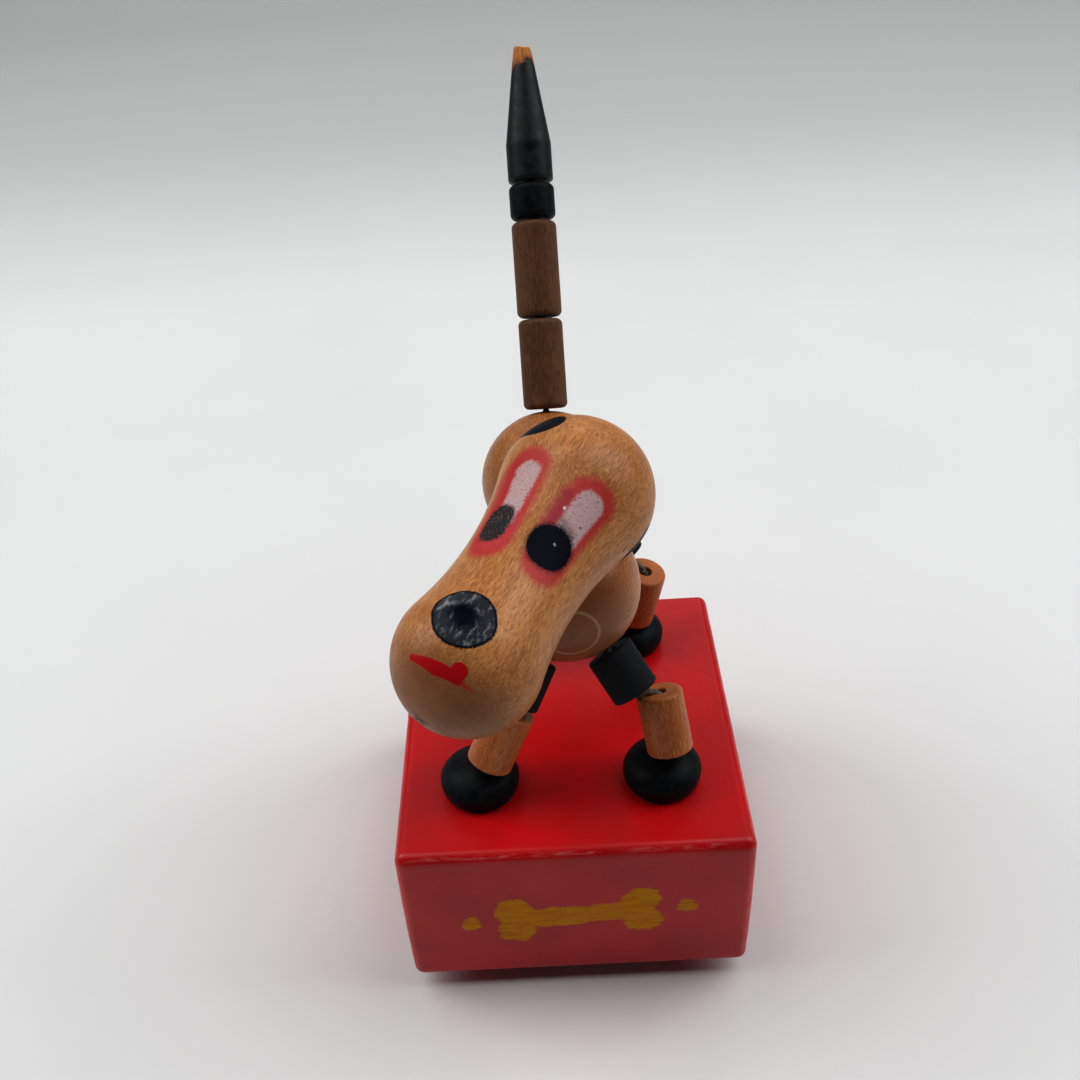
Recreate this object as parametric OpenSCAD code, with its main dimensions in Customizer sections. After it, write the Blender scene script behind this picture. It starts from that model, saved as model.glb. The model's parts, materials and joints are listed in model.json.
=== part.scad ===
// Push puppet: a strung wooden dog on a block, which folds when the button under the block is pressed.
// Millimetres. The origin is on the floor under the block's centre.
// Front is -Y, the dog's left is +X, up is +Z.

/* [Block] */
// width of the block, side to side
block_w = 46; // [45:0.5:52]
// depth of the block, front to back
block_d = 48.8; // [48:0.2:54]
// height of the block
block_h = 25.5; // [24:0.5:30]
// rounding of the block's edges
block_round = 1.4; // [0.8:0.1:1.8]
// thickness of the deck above the button's bore
deck_t = 7; // [6:0.5:8]

/* [Button] */
// diameter of the bore under the block
bore_d = 38.8; // [38.4:0.1:39.6]
// play around the button, per side
button_gap = 0.4; // [0.35:0.05:0.6]
// height of the button
button_h = 8; // [7:0.5:9]
// how far the button stands proud of the block
button_proud = 3; // [2:0.5:4]
// bevel of the button's rims
button_bevel = 0.6; // [0.3:0.1:1]
// radius of the ring of cord holes in the button
anchor_r = 11.5; // [10:0.5:13]
// diameter of a cord knot
knot_d = 2.6; // [2.2:0.1:3]
// play around a knot in its pocket, per side
knot_gap = 0.4; // [0.3:0.1:0.6]
// height of the boss that centres the spring
boss_h = 2; // [1:0.5:3]

/* [Spring] */
// thickness of the spring wire
wire_d = 1; // [0.8:0.1:1.2]
// mean diameter of the spring
coil_d = 14; // [12:0.5:15]
// number of turns
coils = 6; // [5:1:7]

/* [Feet] */
// diameter of a foot
foot_d = 10.2; // [9.6:0.1:10.6]
// height of a foot
foot_h = 4.8; // [4.4:0.1:5.2]
// height of a foot's widest ring
foot_belly_h = 1.9; // [1.4:0.1:2.2]
// how much narrower a foot is at the deck, per side
foot_tuck = 0.7; // [0.3:0.1:1]
// front feet from the middle plane
front_foot_x = 12; // [11.5:0.1:12.5]
// front feet, fore and aft
front_foot_y = -12.6; // [-13:0.1:-12]
// rear feet from the rump's middle plane
rear_foot_x = 10.45; // [10:0.05:11]
// rear feet, fore and aft
rear_foot_y = 14.5; // [14:0.1:15]

/* [Legs] */
// diameter of a lower leg bead
lower_d = 6; // [5.6:0.1:6.1]
// length of a front lower leg bead
front_lower_l = 8.2; // [7.6:0.1:8.3]
// length of a rear lower leg bead
rear_lower_l = 8.95; // [8.4:0.05:9]
// diameter of an upper leg bead
upper_d = 6.2; // [5.8:0.1:6.3]
// length of a front upper leg bead
front_upper_l = 6.3; // [5.6:0.1:6.4]
// length of a rear upper leg bead
rear_upper_l = 5.6; // [5:0.1:5.7]
// rounding of the beads' rims
bead_edge = 0.35; // [0.2:0.05:0.5]
// lower bead of the front left leg: slip from the foot's middle, and rise above its crown
front_left_slip = [0.9, -1, 1.45]; // [-2:0.05:2]
// lower bead of the front right leg: slip from the foot's middle, and rise above its crown
front_right_slip = [1.5, -1.6, 1.3]; // [-2:0.05:2]
// lower beads of the rear legs: slip outward and aft from the foot's middle, and rise above its crown
rear_slip = [0.59, -0.9, 0.63]; // [-2:0.05:2]
// lean of the front left lower bead: to the left, and aft
front_left_lean = [-10.03, 23.53]; // [-30:0.05:30]
// lean of the front right lower bead: to the left, and aft
front_right_lean = [26.25, 18.2]; // [-30:0.05:30]
// lean of the rear lower beads: outward, and aft
rear_lean = [11.76, -2.43]; // [-30:0.05:30]
// direction of the front left upper bead out of the chest: turned forward, and dipped
front_left_aim = [44.1, 44.43]; // [20:0.05:60]
// direction of the front right upper bead out of the chest: turned forward, and dipped
front_right_aim = [49.9, 46.02]; // [20:0.05:60]
// direction of the rear upper beads out of the rump: turned forward, and dipped
rear_aim = [30, 40.85]; // [20:0.05:60]

/* [Torso] */
// diameter of the chest end
chest_d = 18.8; // [18.4:0.1:19]
// diameter of the rump end
rump_d = 19.4; // [19:0.1:19.6]
// middle of the chest, sideways and fore and aft
chest_at = [0.45, -3.5]; // [-5:0.05:5]
// middle of the rump, sideways and fore and aft
rump_at = [-0.65, 20.2]; // [-2:0.05:22]
// height of the torso's axis above the crowns of the feet
torso_lift = 21.2; // [21:0.1:21.8]
// radius of the hollow curve round the torso's waist
torso_waist_r = 16; // [12:0.5:18]

/* [Head] */
// diameter of the skull end
skull_d = 17.8; // [17.4:0.1:18.2]
// diameter of the muzzle end
muzzle_d = 15.6; // [15:0.1:16.4]
// distance between the middles of skull and muzzle
head_l = 24.6; // [23:0.1:26]
// radius of the hollow curve round the head's waist
head_waist_r = 40.6; // [30:0.2:70]
// lean of the neck: to the left, and forward
neck_lean = [5, 17]; // [0:0.5:25]
// how far the head is turned to the dog's right
head_turned = 29.7; // [0:0.1:45]
// how far the muzzle is dipped
head_dip = 11.1; // [5:0.1:14]
// depth of the cord's hole in the head
head_bore_l = 9; // [7:0.5:10]
// diameter of the cord's hole in the head
head_bore_d = 2.8; // [2.6:0.1:3.2]

/* [Tail] */
// diameter of the tail beads
tail_d = 6.2; // [5.8:0.1:6.4]
// length of the lower tail bead
tail_lower_l = 12.4; // [11:0.1:14]
// length of the upper tail bead
tail_upper_l = 13; // [11:0.1:14]
// length of the black collar
tail_collar_l = 4.7; // [4:0.1:6]
// length of the tail's tip
tail_tip_l = 18.5; // [16:0.1:20]
// share of the tip that is straight
tail_straight = 0.27; // [0.15:0.01:0.4]
// diameter of the tip's blunt end
tail_point_d = 2.3; // [1.8:0.1:2.8]
// lean of the tail: to the left, and aft
tail_lean = [-1, 32]; // [-5:0.5:40]

/* [Cord] */
// thickness of the cords
cord_d = 1; // [0.8:0.1:1.1]
// diameter of the holes for the cords
cord_hole_d = 1.8; // [1.7:0.1:2]

/* [Fits] */
// gap between two beads that rest on each other
seat_gap = 0.35; // [0.3:0.01:0.4]
// gap between the ends of two lengths of cord
cord_gap = 0.3; // [0.2:0.05:0.4]
// play at each end of the spring
spring_gap = 0.05; // [0.02:0.01:0.1]

/* [Hidden] */
$fn = 64;
round_fn = 32;
eps = 0.01;
wire_rings = 8;
wire_sides = 6;
dome_steps = 14;
ball_steps = 22;
waist_steps = 12;
pole_step = 4;
quarter = 90;
left = 1;
right = -1;

deck_z = button_proud + block_h;
bore_top = deck_z - deck_t;
crown_z = deck_z + foot_h;
torso_z = crown_z + torso_lift;
button_d = bore_d - 2 * button_gap;
chest_r = chest_d / 2;
rump_r = rump_d / 2;
skull_r = skull_d / 2;
muzzle_r = muzzle_d / 2;
cord_r = cord_d / 2;
hole_r = cord_hole_d / 2;
join_r = (cord_r + hole_r) / 2;
chamber_r = 3 * hole_r;
knot_r = knot_d / 2;
pocket_r = knot_r + knot_gap;
pocket_h = knot_d + knot_gap;

chest = [chest_at[0], chest_at[1], torso_z];
rump = [rump_at[0], rump_at[1], torso_z];

function unit(v) = v / norm(v);
function leaning(lean) = unit([tan(lean[0]), tan(lean[1]), 1]);
function outward(side, aim) =
    [side * cos(aim[1]) * cos(aim[0]), -cos(aim[1]) * sin(aim[0]), -sin(aim[1])];

front_left_foot_at = [front_foot_x, front_foot_y, deck_z];
front_right_foot_at = [-front_foot_x, front_foot_y, deck_z];
rear_left_foot_at = [rump[0] + rear_foot_x, rear_foot_y, deck_z];
rear_right_foot_at = [rump[0] - rear_foot_x, rear_foot_y, deck_z];
feet_at = [front_left_foot_at, front_right_foot_at, rear_left_foot_at, rear_right_foot_at];

crown = [0, 0, foot_h];
rear_right_slip = [-rear_slip[0], rear_slip[1], rear_slip[2]];
front_left_ankle = front_left_foot_at + crown + front_left_slip;
front_right_ankle = front_right_foot_at + crown + front_right_slip;
rear_left_ankle = rear_left_foot_at + crown + rear_slip;
rear_right_ankle = rear_right_foot_at + crown + rear_right_slip;

front_left_up = leaning(front_left_lean);
front_right_up = leaning(front_right_lean);
rear_left_up = leaning(rear_lean);
rear_right_up = leaning([-rear_lean[0], rear_lean[1]]);

front_left_out = outward(left, front_left_aim);
front_right_out = outward(right, front_right_aim);
rear_left_out = outward(left, rear_aim);
rear_right_out = outward(right, rear_aim);

neck_up = unit([tan(neck_lean[0]), -tan(neck_lean[1]), 1]);
skull = chest + (chest_r + skull_r + seat_gap) * neck_up;
head_out = [-sin(head_turned) * cos(head_dip), -cos(head_turned) * cos(head_dip), -sin(head_dip)];

tail_up = leaning(tail_lean);
tail_1 = rump_r + seat_gap;
tail_2 = tail_1 + tail_lower_l + seat_gap;
tail_3 = tail_2 + tail_upper_l + seat_gap;
tail_4 = tail_3 + tail_collar_l + seat_gap;

spring_low = button_h + spring_gap + wire_d / 2;
spring_high = bore_top - spring_gap - wire_d / 2;
spring_pitch = (spring_high - spring_low) / coils;
spring_slope = atan(spring_pitch / (PI * coil_d));
spring_self_gap = spring_pitch * cos(spring_slope) - wire_d;
echo(spring_self_gap = spring_self_gap);
boss_r = coil_d / 2 * cos(2 * quarter / wire_rings) - wire_d / 2 - button_gap;

// Puts the children's +Z along d, from p.
module along(p, d) {
    translate(p)
        rotate([0, acos(d[2]), atan2(d[1], d[0])])
            children();
}

// A dowel bead from the origin up, with rounded rims and a cord hole.
module bead(d, l) {
    r = d / 2;
    rotate_extrude()
        difference() {
            union() {
                translate([0, bead_edge])
                    square([r, l - 2 * bead_edge]);
                square([r - bead_edge, l]);
                for (z = [bead_edge, l - bead_edge])
                    translate([r - bead_edge, z])
                        circle(bead_edge);
            }
            translate([0, -l])
                square([hole_r, 3 * l]);
        }
}

// A length of cord from one height to another.
module cord(low, high) {
    translate([0, 0, low])
        cylinder(r = cord_r, h = high - low);
}

// A cord inside a bead, short of both ends.
module bead_cord(l) {
    cord(cord_gap, l - cord_gap);
}

// A straight cord between two points.
module strand(a, b) {
    along(a, unit(b - a))
        cylinder(r = cord_r, h = norm(b - a));
}

// Points on an arc about c, from one angle to another.
function arc(c, r, from, to, steps) =
    [for (i = [0 : steps]) let (t = from + (to - from) * i / steps) c + r * [cos(t), sin(t)]];

// A turned dumbbell: ball ra at the origin, ball rb at height l, joined by a hollow curve of radius rho.
module dumbbell(ra, rb, l, rho) {
    mid = (pow(ra + rho, 2) - pow(rb + rho, 2) + l * l) / (2 * l);
    off = sqrt(pow(ra + rho, 2) - mid * mid);
    leave = atan2(mid, off);
    arrive = atan2(mid - l, off);
    rotate_extrude()
        polygon(concat(
            [[0, -ra]],
            arc([0, 0], ra, pole_step - quarter, leave, ball_steps),
            arc([off, mid], -rho, leave - pole_step, arrive + pole_step, waist_steps),
            arc([0, l], rb, arrive, quarter - pole_step, ball_steps),
            [[0, l + rb]]));
}

// A cord hole from the origin up.
module cord_hole(l) {
    cylinder(r = hole_r, h = l);
}

module base_block() {
    inset_x = block_w / 2 - block_round;
    inset_y = block_d / 2 - block_round;
    color("firebrick")
        difference() {
            hull()
                for (x = [-inset_x, inset_x], y = [-inset_y, inset_y])
                    for (z = [button_proud + block_round, deck_z - block_round])
                        translate([x, y, z])
                            sphere(block_round, $fn = round_fn);
            translate([0, 0, button_proud - eps])
                cylinder(d = bore_d, h = bore_top - button_proud + eps);
            for (p = feet_at)
                translate([p[0], p[1], bore_top - eps])
                    cord_hole(deck_t + 2 * eps);
        }
}

// Where a foot's cord meets the button.
function anchor(p) = anchor_r * unit([p[0], p[1]]);

module push_button() {
    r = button_d / 2;
    color("burlywood")
        difference() {
            union() {
                rotate_extrude()
                    polygon([[0, 0], [r - button_bevel, 0], [r, button_bevel], [r, button_h - button_bevel],
                        [r - button_bevel, button_h], [0, button_h]]);
                translate([0, 0, button_h - eps])
                    cylinder(r = boss_r, h = boss_h + eps);
            }
            for (p = feet_at)
                translate(anchor(p)) {
                    translate([0, 0, -eps])
                        cord_hole(button_h + 2 * eps);
                    translate([0, 0, -eps])
                        cylinder(r = pocket_r, h = pocket_h + eps);
                }
        }
}

// The spring: one round wire swept along a helix, ring by ring.
module return_spring() {
    count = coils * wire_rings;
    r = coil_d / 2;
    function ring_point(i, j) =
        let (a = 360 * i / wire_rings, b = 360 * j / wire_sides,
            out = [cos(a), sin(a), 0],
            ahead = [-sin(a) * cos(spring_slope), cos(a) * cos(spring_slope), sin(spring_slope)],
            side = cross(ahead, out),
            z = spring_low + (spring_high - spring_low) * i / count)
        r * out + [0, 0, z] + wire_d / 2 * (cos(b) * out + sin(b) * side);
    points = [for (i = [0 : count], j = [0 : wire_sides - 1]) ring_point(i, j)];
    walls = [for (i = [0 : count - 1], j = [0 : wire_sides - 1])
        let (k = (j + 1) % wire_sides)
        each [[i * wire_sides + j, (i + 1) * wire_sides + k, i * wire_sides + k],
            [i * wire_sides + j, (i + 1) * wire_sides + j, (i + 1) * wire_sides + k]]];
    start = [for (j = [0 : wire_sides - 1]) j];
    stop = [for (j = [wire_sides - 1 : -1 : 0]) count * wire_sides + j];
    color("silver")
        polyhedron(points, concat(walls, [start, stop]));
}

module button_cords() {
    color("linen")
        for (p = feet_at)
            translate(anchor(p)) {
                translate([0, 0, pocket_h - knot_r])
                    sphere(knot_r);
                cord(pocket_h - knot_r, button_h - cord_gap / 2);
            }
}

module bore_cords() {
    color("linen")
        for (p = feet_at) {
            a = anchor(p);
            strand([a[0], a[1], button_h + cord_gap / 2], [p[0], p[1], bore_top - cord_gap]);
        }
}

module foot_cords() {
    color("linen")
        for (p = feet_at)
            translate([p[0], p[1], 0])
                cord(bore_top + cord_gap, crown_z - cord_gap);
}

// A squat domed foot: an ellipse above its widest ring, a tucked-in ellipse below.
module foot(p) {
    r = foot_d / 2;
    below = [for (i = [0 : dome_steps - 1]) let (a = quarter * (i / dome_steps - 1))
        [r - foot_tuck + foot_tuck * cos(a), foot_belly_h + foot_belly_h * sin(a)]];
    above = [for (i = [0 : dome_steps]) let (a = quarter * i / dome_steps)
        [r * cos(a), foot_belly_h + (foot_h - foot_belly_h) * sin(a)]];
    color("dimgray")
        translate(p)
            difference() {
                rotate_extrude()
                    polygon(concat([[0, 0]], below, above));
                translate([0, 0, -eps])
                    cord_hole(foot_h + 2 * eps);
            }
}

module lower_leg(p, d, l) {
    color("peru")
        along(p, d)
            bead(lower_d, l);
}

module lower_cord(p, d, l) {
    color("linen")
        along(p, d)
            bead_cord(l);
}

module upper_leg(ball, r, d, l) {
    color("dimgray")
        along(ball + (r + seat_gap) * d, d)
            bead(upper_d, l);
}

module upper_cord(ball, r, d, l) {
    color("linen")
        along(ball + (r + seat_gap) * d, d)
            bead_cord(l);
}

module front_left_foot() { foot(front_left_foot_at); }
module front_right_foot() { foot(front_right_foot_at); }
module rear_left_foot() { foot(rear_left_foot_at); }
module rear_right_foot() { foot(rear_right_foot_at); }
module front_left_lower_leg() { lower_leg(front_left_ankle, front_left_up, front_lower_l); }
module front_right_lower_leg() { lower_leg(front_right_ankle, front_right_up, front_lower_l); }
module rear_left_lower_leg() { lower_leg(rear_left_ankle, rear_left_up, rear_lower_l); }
module rear_right_lower_leg() { lower_leg(rear_right_ankle, rear_right_up, rear_lower_l); }
module front_left_lower_cord() { lower_cord(front_left_ankle, front_left_up, front_lower_l); }
module front_right_lower_cord() { lower_cord(front_right_ankle, front_right_up, front_lower_l); }
module rear_left_lower_cord() { lower_cord(rear_left_ankle, rear_left_up, rear_lower_l); }
module rear_right_lower_cord() { lower_cord(rear_right_ankle, rear_right_up, rear_lower_l); }
module front_left_upper_leg() { upper_leg(chest, chest_r, front_left_out, front_upper_l); }
module front_right_upper_leg() { upper_leg(chest, chest_r, front_right_out, front_upper_l); }
module rear_left_upper_leg() { upper_leg(rump, rump_r, rear_left_out, rear_upper_l); }
module rear_right_upper_leg() { upper_leg(rump, rump_r, rear_right_out, rear_upper_l); }
module front_left_upper_cord() { upper_cord(chest, chest_r, front_left_out, front_upper_l); }
module front_right_upper_cord() { upper_cord(chest, chest_r, front_right_out, front_upper_l); }
module rear_left_upper_cord() { upper_cord(rump, rump_r, rear_left_out, rear_upper_l); }
module rear_right_upper_cord() { upper_cord(rump, rump_r, rear_right_out, rear_upper_l); }

module torso() {
    color("peru")
        difference() {
            along(chest, unit(rump - chest))
                dumbbell(chest_r, rump_r, norm(rump - chest), torso_waist_r);
            for (p = [chest, rump])
                translate(p)
                    sphere(chamber_r);
            for (d = [front_left_out, front_right_out, neck_up])
                along(chest + chamber_r / 2 * d, d)
                    cord_hole(chest_r);
            for (d = [rear_left_out, rear_right_out, tail_up])
                along(rump + chamber_r / 2 * d, d)
                    cord_hole(rump_r);
        }
}

// The cords inside the torso: the front pair meets the neck's cord, the rear pair meets the tail's.
module torso_cords() {
    color("linen") {
        for (d = [front_left_out, front_right_out, neck_up])
            along(chest, d)
                cord(0, chest_r - cord_gap);
        for (d = [rear_left_out, rear_right_out, tail_up])
            along(rump, d)
                cord(0, rump_r - cord_gap);
        for (p = [chest, rump])
            translate(p)
                sphere(join_r);
    }
}

module neck_cord() {
    top = chest_r + seat_gap + head_bore_l - knot_r;
    color("linen")
        along(chest, neck_up) {
            cord(chest_r + seat_gap + cord_gap, top);
            translate([0, 0, top])
                sphere(head_bore_d / 2 - knot_gap);
        }
}

module head() {
    color("peru")
        difference() {
            along(skull, head_out)
                dumbbell(skull_r, muzzle_r, head_l, head_waist_r);
            along(skull - (skull_r + seat_gap) * neck_up, neck_up)
                cylinder(d = head_bore_d, h = head_bore_l + seat_gap);
        }
}

module tail_lower() {
    color("saddlebrown")
        along(rump + tail_1 * tail_up, tail_up)
            bead(tail_d, tail_lower_l);
}

module tail_upper() {
    color("saddlebrown")
        along(rump + tail_2 * tail_up, tail_up)
            bead(tail_d, tail_upper_l);
}

module tail_collar() {
    color("dimgray")
        along(rump + tail_3 * tail_up, tail_up)
            bead(tail_d, tail_collar_l);
}

module tail_tip() {
    r = tail_d / 2;
    point_r = tail_point_d / 2;
    color("dimgray")
        along(rump + tail_4 * tail_up, tail_up)
            difference() {
                rotate_extrude()
                    polygon([[0, 0], [r - bead_edge, 0], [r, bead_edge], [r, tail_straight * tail_tip_l],
                        [point_r, tail_tip_l - point_r / 2], [point_r / 2, tail_tip_l], [0, tail_tip_l]]);
                translate([0, 0, -eps])
                    cord_hole(tail_tip_l / 2);
            }
}

module tail_cord(start, l) {
    color("linen")
        along(rump + start * tail_up, tail_up)
            bead_cord(l);
}

module tail_lower_cord() { tail_cord(tail_1, tail_lower_l); }
module tail_upper_cord() { tail_cord(tail_2, tail_upper_l); }
module tail_collar_cord() { tail_cord(tail_3, tail_collar_l); }
module tail_tip_cord() { tail_cord(tail_4, tail_tip_l / 2); }

base_block();
push_button();
return_spring();
button_cords();
bore_cords();
foot_cords();
front_left_foot();
front_right_foot();
rear_left_foot();
rear_right_foot();
front_left_lower_leg();
front_right_lower_leg();
rear_left_lower_leg();
rear_right_lower_leg();
front_left_lower_cord();
front_right_lower_cord();
rear_left_lower_cord();
rear_right_lower_cord();
front_left_upper_leg();
front_right_upper_leg();
rear_left_upper_leg();
rear_right_upper_leg();
front_left_upper_cord();
front_right_upper_cord();
rear_left_upper_cord();
rear_right_upper_cord();
torso();
torso_cords();
neck_cord();
head();
tail_lower();
tail_upper();
tail_collar();
tail_tip();
tail_lower_cord();
tail_upper_cord();
tail_collar_cord();
tail_tip_cord();
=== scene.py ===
"""The looks of a push puppet: a strung wooden dog on a red enamelled block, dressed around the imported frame.

Lengths are metres, written as millimetres times MM. The dog's left is +X, the front is -Y, up is +Z.
"""

import json
import math
from collections import namedtuple

import bpy
import numpy as np
from mathutils import Matrix, Vector


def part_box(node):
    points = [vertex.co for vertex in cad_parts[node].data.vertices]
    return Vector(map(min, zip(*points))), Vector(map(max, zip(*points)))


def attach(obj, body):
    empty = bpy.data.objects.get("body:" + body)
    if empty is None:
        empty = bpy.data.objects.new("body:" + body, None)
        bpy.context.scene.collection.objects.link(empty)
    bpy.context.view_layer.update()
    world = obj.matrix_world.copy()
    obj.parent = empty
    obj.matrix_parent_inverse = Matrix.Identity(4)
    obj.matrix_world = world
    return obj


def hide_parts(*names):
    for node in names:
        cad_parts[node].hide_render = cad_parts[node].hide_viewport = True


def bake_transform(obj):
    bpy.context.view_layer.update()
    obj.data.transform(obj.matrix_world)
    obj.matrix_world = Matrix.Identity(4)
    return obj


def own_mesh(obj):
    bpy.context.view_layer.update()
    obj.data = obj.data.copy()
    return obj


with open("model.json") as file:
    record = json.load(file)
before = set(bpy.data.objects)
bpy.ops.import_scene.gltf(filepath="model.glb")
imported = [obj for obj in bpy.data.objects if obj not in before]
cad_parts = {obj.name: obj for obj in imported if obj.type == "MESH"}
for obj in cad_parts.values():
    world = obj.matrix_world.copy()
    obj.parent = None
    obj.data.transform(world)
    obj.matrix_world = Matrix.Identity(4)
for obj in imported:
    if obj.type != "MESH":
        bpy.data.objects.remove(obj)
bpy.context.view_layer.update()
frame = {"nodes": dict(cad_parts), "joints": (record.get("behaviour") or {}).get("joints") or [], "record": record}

MM = 0.001
TAU = 2 * math.pi
UP = np.array([0.0, 0.0, 1.0])

# The turned bodies: each is two balls joined by a hollow curve.
CHEST = np.array([0.45, -3.5, 54.5]) * MM
RUMP = np.array([-0.65, 20.2, 54.5]) * MM
CHEST_R = 9.4 * MM
RUMP_R = 9.7 * MM
TORSO_HOLLOW_R = 16.0 * MM
SKULL_R = 8.9 * MM
MUZZLE_R = 7.8 * MM
HEAD_L = 24.6 * MM
HEAD_HOLLOW_R = 40.6 * MM
HEAD_TURNED = math.radians(29.7)
HEAD_DIP = math.radians(11.1)

# The face is painted round this turn about the head's axis, away from straight up, to the dog's left.
FACE_ROLL = math.radians(11.4)
FACE_R = 7.0 * MM

# Beads and feet.
LEGS = ("front_left", "front_right", "rear_left", "rear_right")
TAIL_BEADS = ("tail_lower", "tail_upper", "tail_collar")
HOLE_R = 0.9 * MM
HOLE_RIM = 0.2 * MM
LOWER_RIM = 0.4 * MM
UPPER_RIM = 0.35 * MM
TAIL_RIM = 0.75 * MM
FOOT_BELLY = 0.4
FOOT_TUCK = 0.7 * MM

# The tail's tip and its broken end.
TIP_STRAIGHT = 0.27
TIP_SHOULDER = 2.4 * MM
TIP_END_R = 1.15 * MM
TIP_CHAMFER = 0.2 * MM
TIP_END_ROUND = 0.3 * MM
TIP_SLANT = 0.8
BREAK_L = 1.6 * MM
BREAK_DEPTH = 0.35 * MM
BREAK_WARP = 0.1

# Thread.
CORD_R = 0.5 * MM
CORD_OVERLAP = 0.6 * MM
CORD_LAY = 1.9 * MM
CORD_THICK = 0.9
CORD_SWELL = 0.14
CORD_SIDES = 20
CORD_RINGS = 40
BORE_CORD_RINGS = 80
HIDDEN_CORD = 1.2 * MM

# How finely the turned pieces are cut: steps along the profile and columns round the axis.
BEAD_STEP = 0.16 * MM
HEAD_STEP = 0.24 * MM
TORSO_STEP = 0.3 * MM
BEAD_COLUMNS = 72
FOOT_COLUMNS = 96
TORSO_COLUMNS = 192
HEAD_COLUMNS = 256

# How far the turned pieces are from round, as a share of the radius.
HEAD_OVAL = 0.003
TORSO_OVAL = 0.004
BEAD_OVAL = 0.008
FOOT_OVAL = 0.012

# Seeds, so that no two turned pieces share a grain. Legs and tail beads count up from theirs.
HEAD_SEED = 5
TORSO_SEED = 11
FOOT_SEED = 21
LOWER_SEED = 31
UPPER_SEED = 41
TAIL_SEED = 51
TIP_SEED = 61

# The block. Dents die out at DENT_REACH millimetres from an edge, and what shifts a side fades in from
# SIDE_FROM of the half width.
BLOCK_ROUND = 1.4 * MM
BLOCK_BULGE = 0.12 * MM
BLOCK_DENT = 0.09 * MM
DENT_REACH = 2.5
SIDE_FROM = 0.8
CORNER_STEPS = 10
EDGE_STEPS = 44
BORE_R = 19.4 * MM
BORE_BEVEL = 0.4 * MM
DECK_T = 7.0 * MM

# The spring.
WIRE_R = 0.5 * MM
WIRE_SIDES = 14
COIL_R = 7.0 * MM
COILS = 6
COIL_STEPS = 40

# The studio, in metres and watts: a floor that turns up into a wall, and three soft boxes.
SWEEP_FRONT = -1.2
SWEEP_TURN_AT = 0.55
SWEEP_TURN_R = 0.25
SWEEP_WALL = 0.9
SWEEP_HALF = 1.6
SIDE_BOX_X = 0.46
SIDE_BOX_Y = 0.08
SIDE_BOX_Z = 0.6
SIDE_BOX_SIZE = (0.5, 0.9)
SIDE_BOX_AIM = (0, 0, 0.03)
SIDE_BOX_POWER = 4.55
BACK_BOX_AT = (0.0, 0.72, 0.56)
BACK_BOX_SIZE = (1.0, 0.26)
BACK_BOX_AIM = (0, 0, 0.04)
BACK_BOX_POWER = 1.1
ROOM_COLOUR = (0.95, 0.97, 1.0, 1.0)
ROOM_STRENGTH = 0.05
PICTURE_GAMMA = 0.8

# The camera, fitted to the block's corners in the photograph.
CAMERA_AT = Vector((-1.035, -113.275, 145.945)) * MM
CAMERA_PITCH = math.radians(37.4)
CAMERA_YAW = math.radians(-0.7)
CAMERA_ROLL = math.radians(-3.4)
FOCAL_PX = 1140
PHOTO_PX = 1080
SENSOR_MM = 36
CLIP_NEAR = 0.005
CLIP_FAR = 20

# Distances under which two points count as one.
TINY = 1e-9


# Shapes: arrays of points worked out by formula.

def unit(v):
    """The vector v at length one."""
    v = np.asarray(v, float)
    return v / np.linalg.norm(v)


def axes_round(axis, toward=UP):
    """Two unit vectors square to an axis, the first as near as can be to toward, and the axis itself."""
    axis = unit(axis)
    if abs(axis @ unit(toward)) > 0.99:
        toward = (0.0, -1.0, 0.0)
    first = unit(np.asarray(toward, float) - (np.asarray(toward, float) @ axis) * axis)
    return first, np.cross(axis, first), axis


def run_along(points):
    """Length along a line of points, from its first point to each one."""
    return np.concatenate([[0], np.cumsum(np.linalg.norm(np.diff(points, axis=0), axis=1))])


def arc(centre, radius, start, stop, steps):
    """Points on a circle's arc about centre, from one angle to another, in radians."""
    turn = np.linspace(start, stop, steps + 1)
    return np.asarray(centre) + radius * np.stack([np.cos(turn), np.sin(turn)], -1)


def dumbbell(low_r, high_r, length, hollow_r, steps=160):
    """Profile of a turned dumbbell, (radius, height): arcs of two balls, joined by a hollow arc that touches
    both. The hollow's centre lies at each ball's radius plus its own from that ball's centre."""
    middle = ((low_r + hollow_r) ** 2 - (high_r + hollow_r) ** 2 + length ** 2) / (2 * length)
    reach = math.sqrt((low_r + hollow_r) ** 2 - middle ** 2)
    leave, arrive = math.atan2(middle, reach), math.atan2(middle - length, reach)
    low = arc((0, 0), low_r, -math.pi / 2, leave, steps)
    waist = arc((reach, middle), hollow_r, math.pi + leave, math.pi + arrive, steps)
    high = arc((0, length), high_r, arrive, math.pi / 2, steps)
    profile = np.concatenate([low, waist[1:-1], high])
    profile[[0, -1], 0] = 0
    return profile


def rounded(corners, rounds, steps=6):
    """A closed profile from corner points, each corner replaced by an arc of its own radius that touches both
    sides."""
    corners = np.asarray(corners, float)
    points = []
    for here, before, after, r in zip(corners, np.roll(corners, 1, 0), np.roll(corners, -1, 0), rounds):
        a, b = unit(before - here), unit(after - here)
        half = math.acos(np.clip(a @ b, -1, 1)) / 2
        centre = here + unit(a + b) * r / math.sin(half)
        start, stop = here + a * r / math.tan(half) - centre, here + b * r / math.tan(half) - centre
        share = np.linspace(0, 1, steps + 1)[:, None]
        chord = start * (1 - share) + stop * share
        points.append(centre + r * chord / np.linalg.norm(chord, axis=1, keepdims=True))
    return np.concatenate(points)


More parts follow.
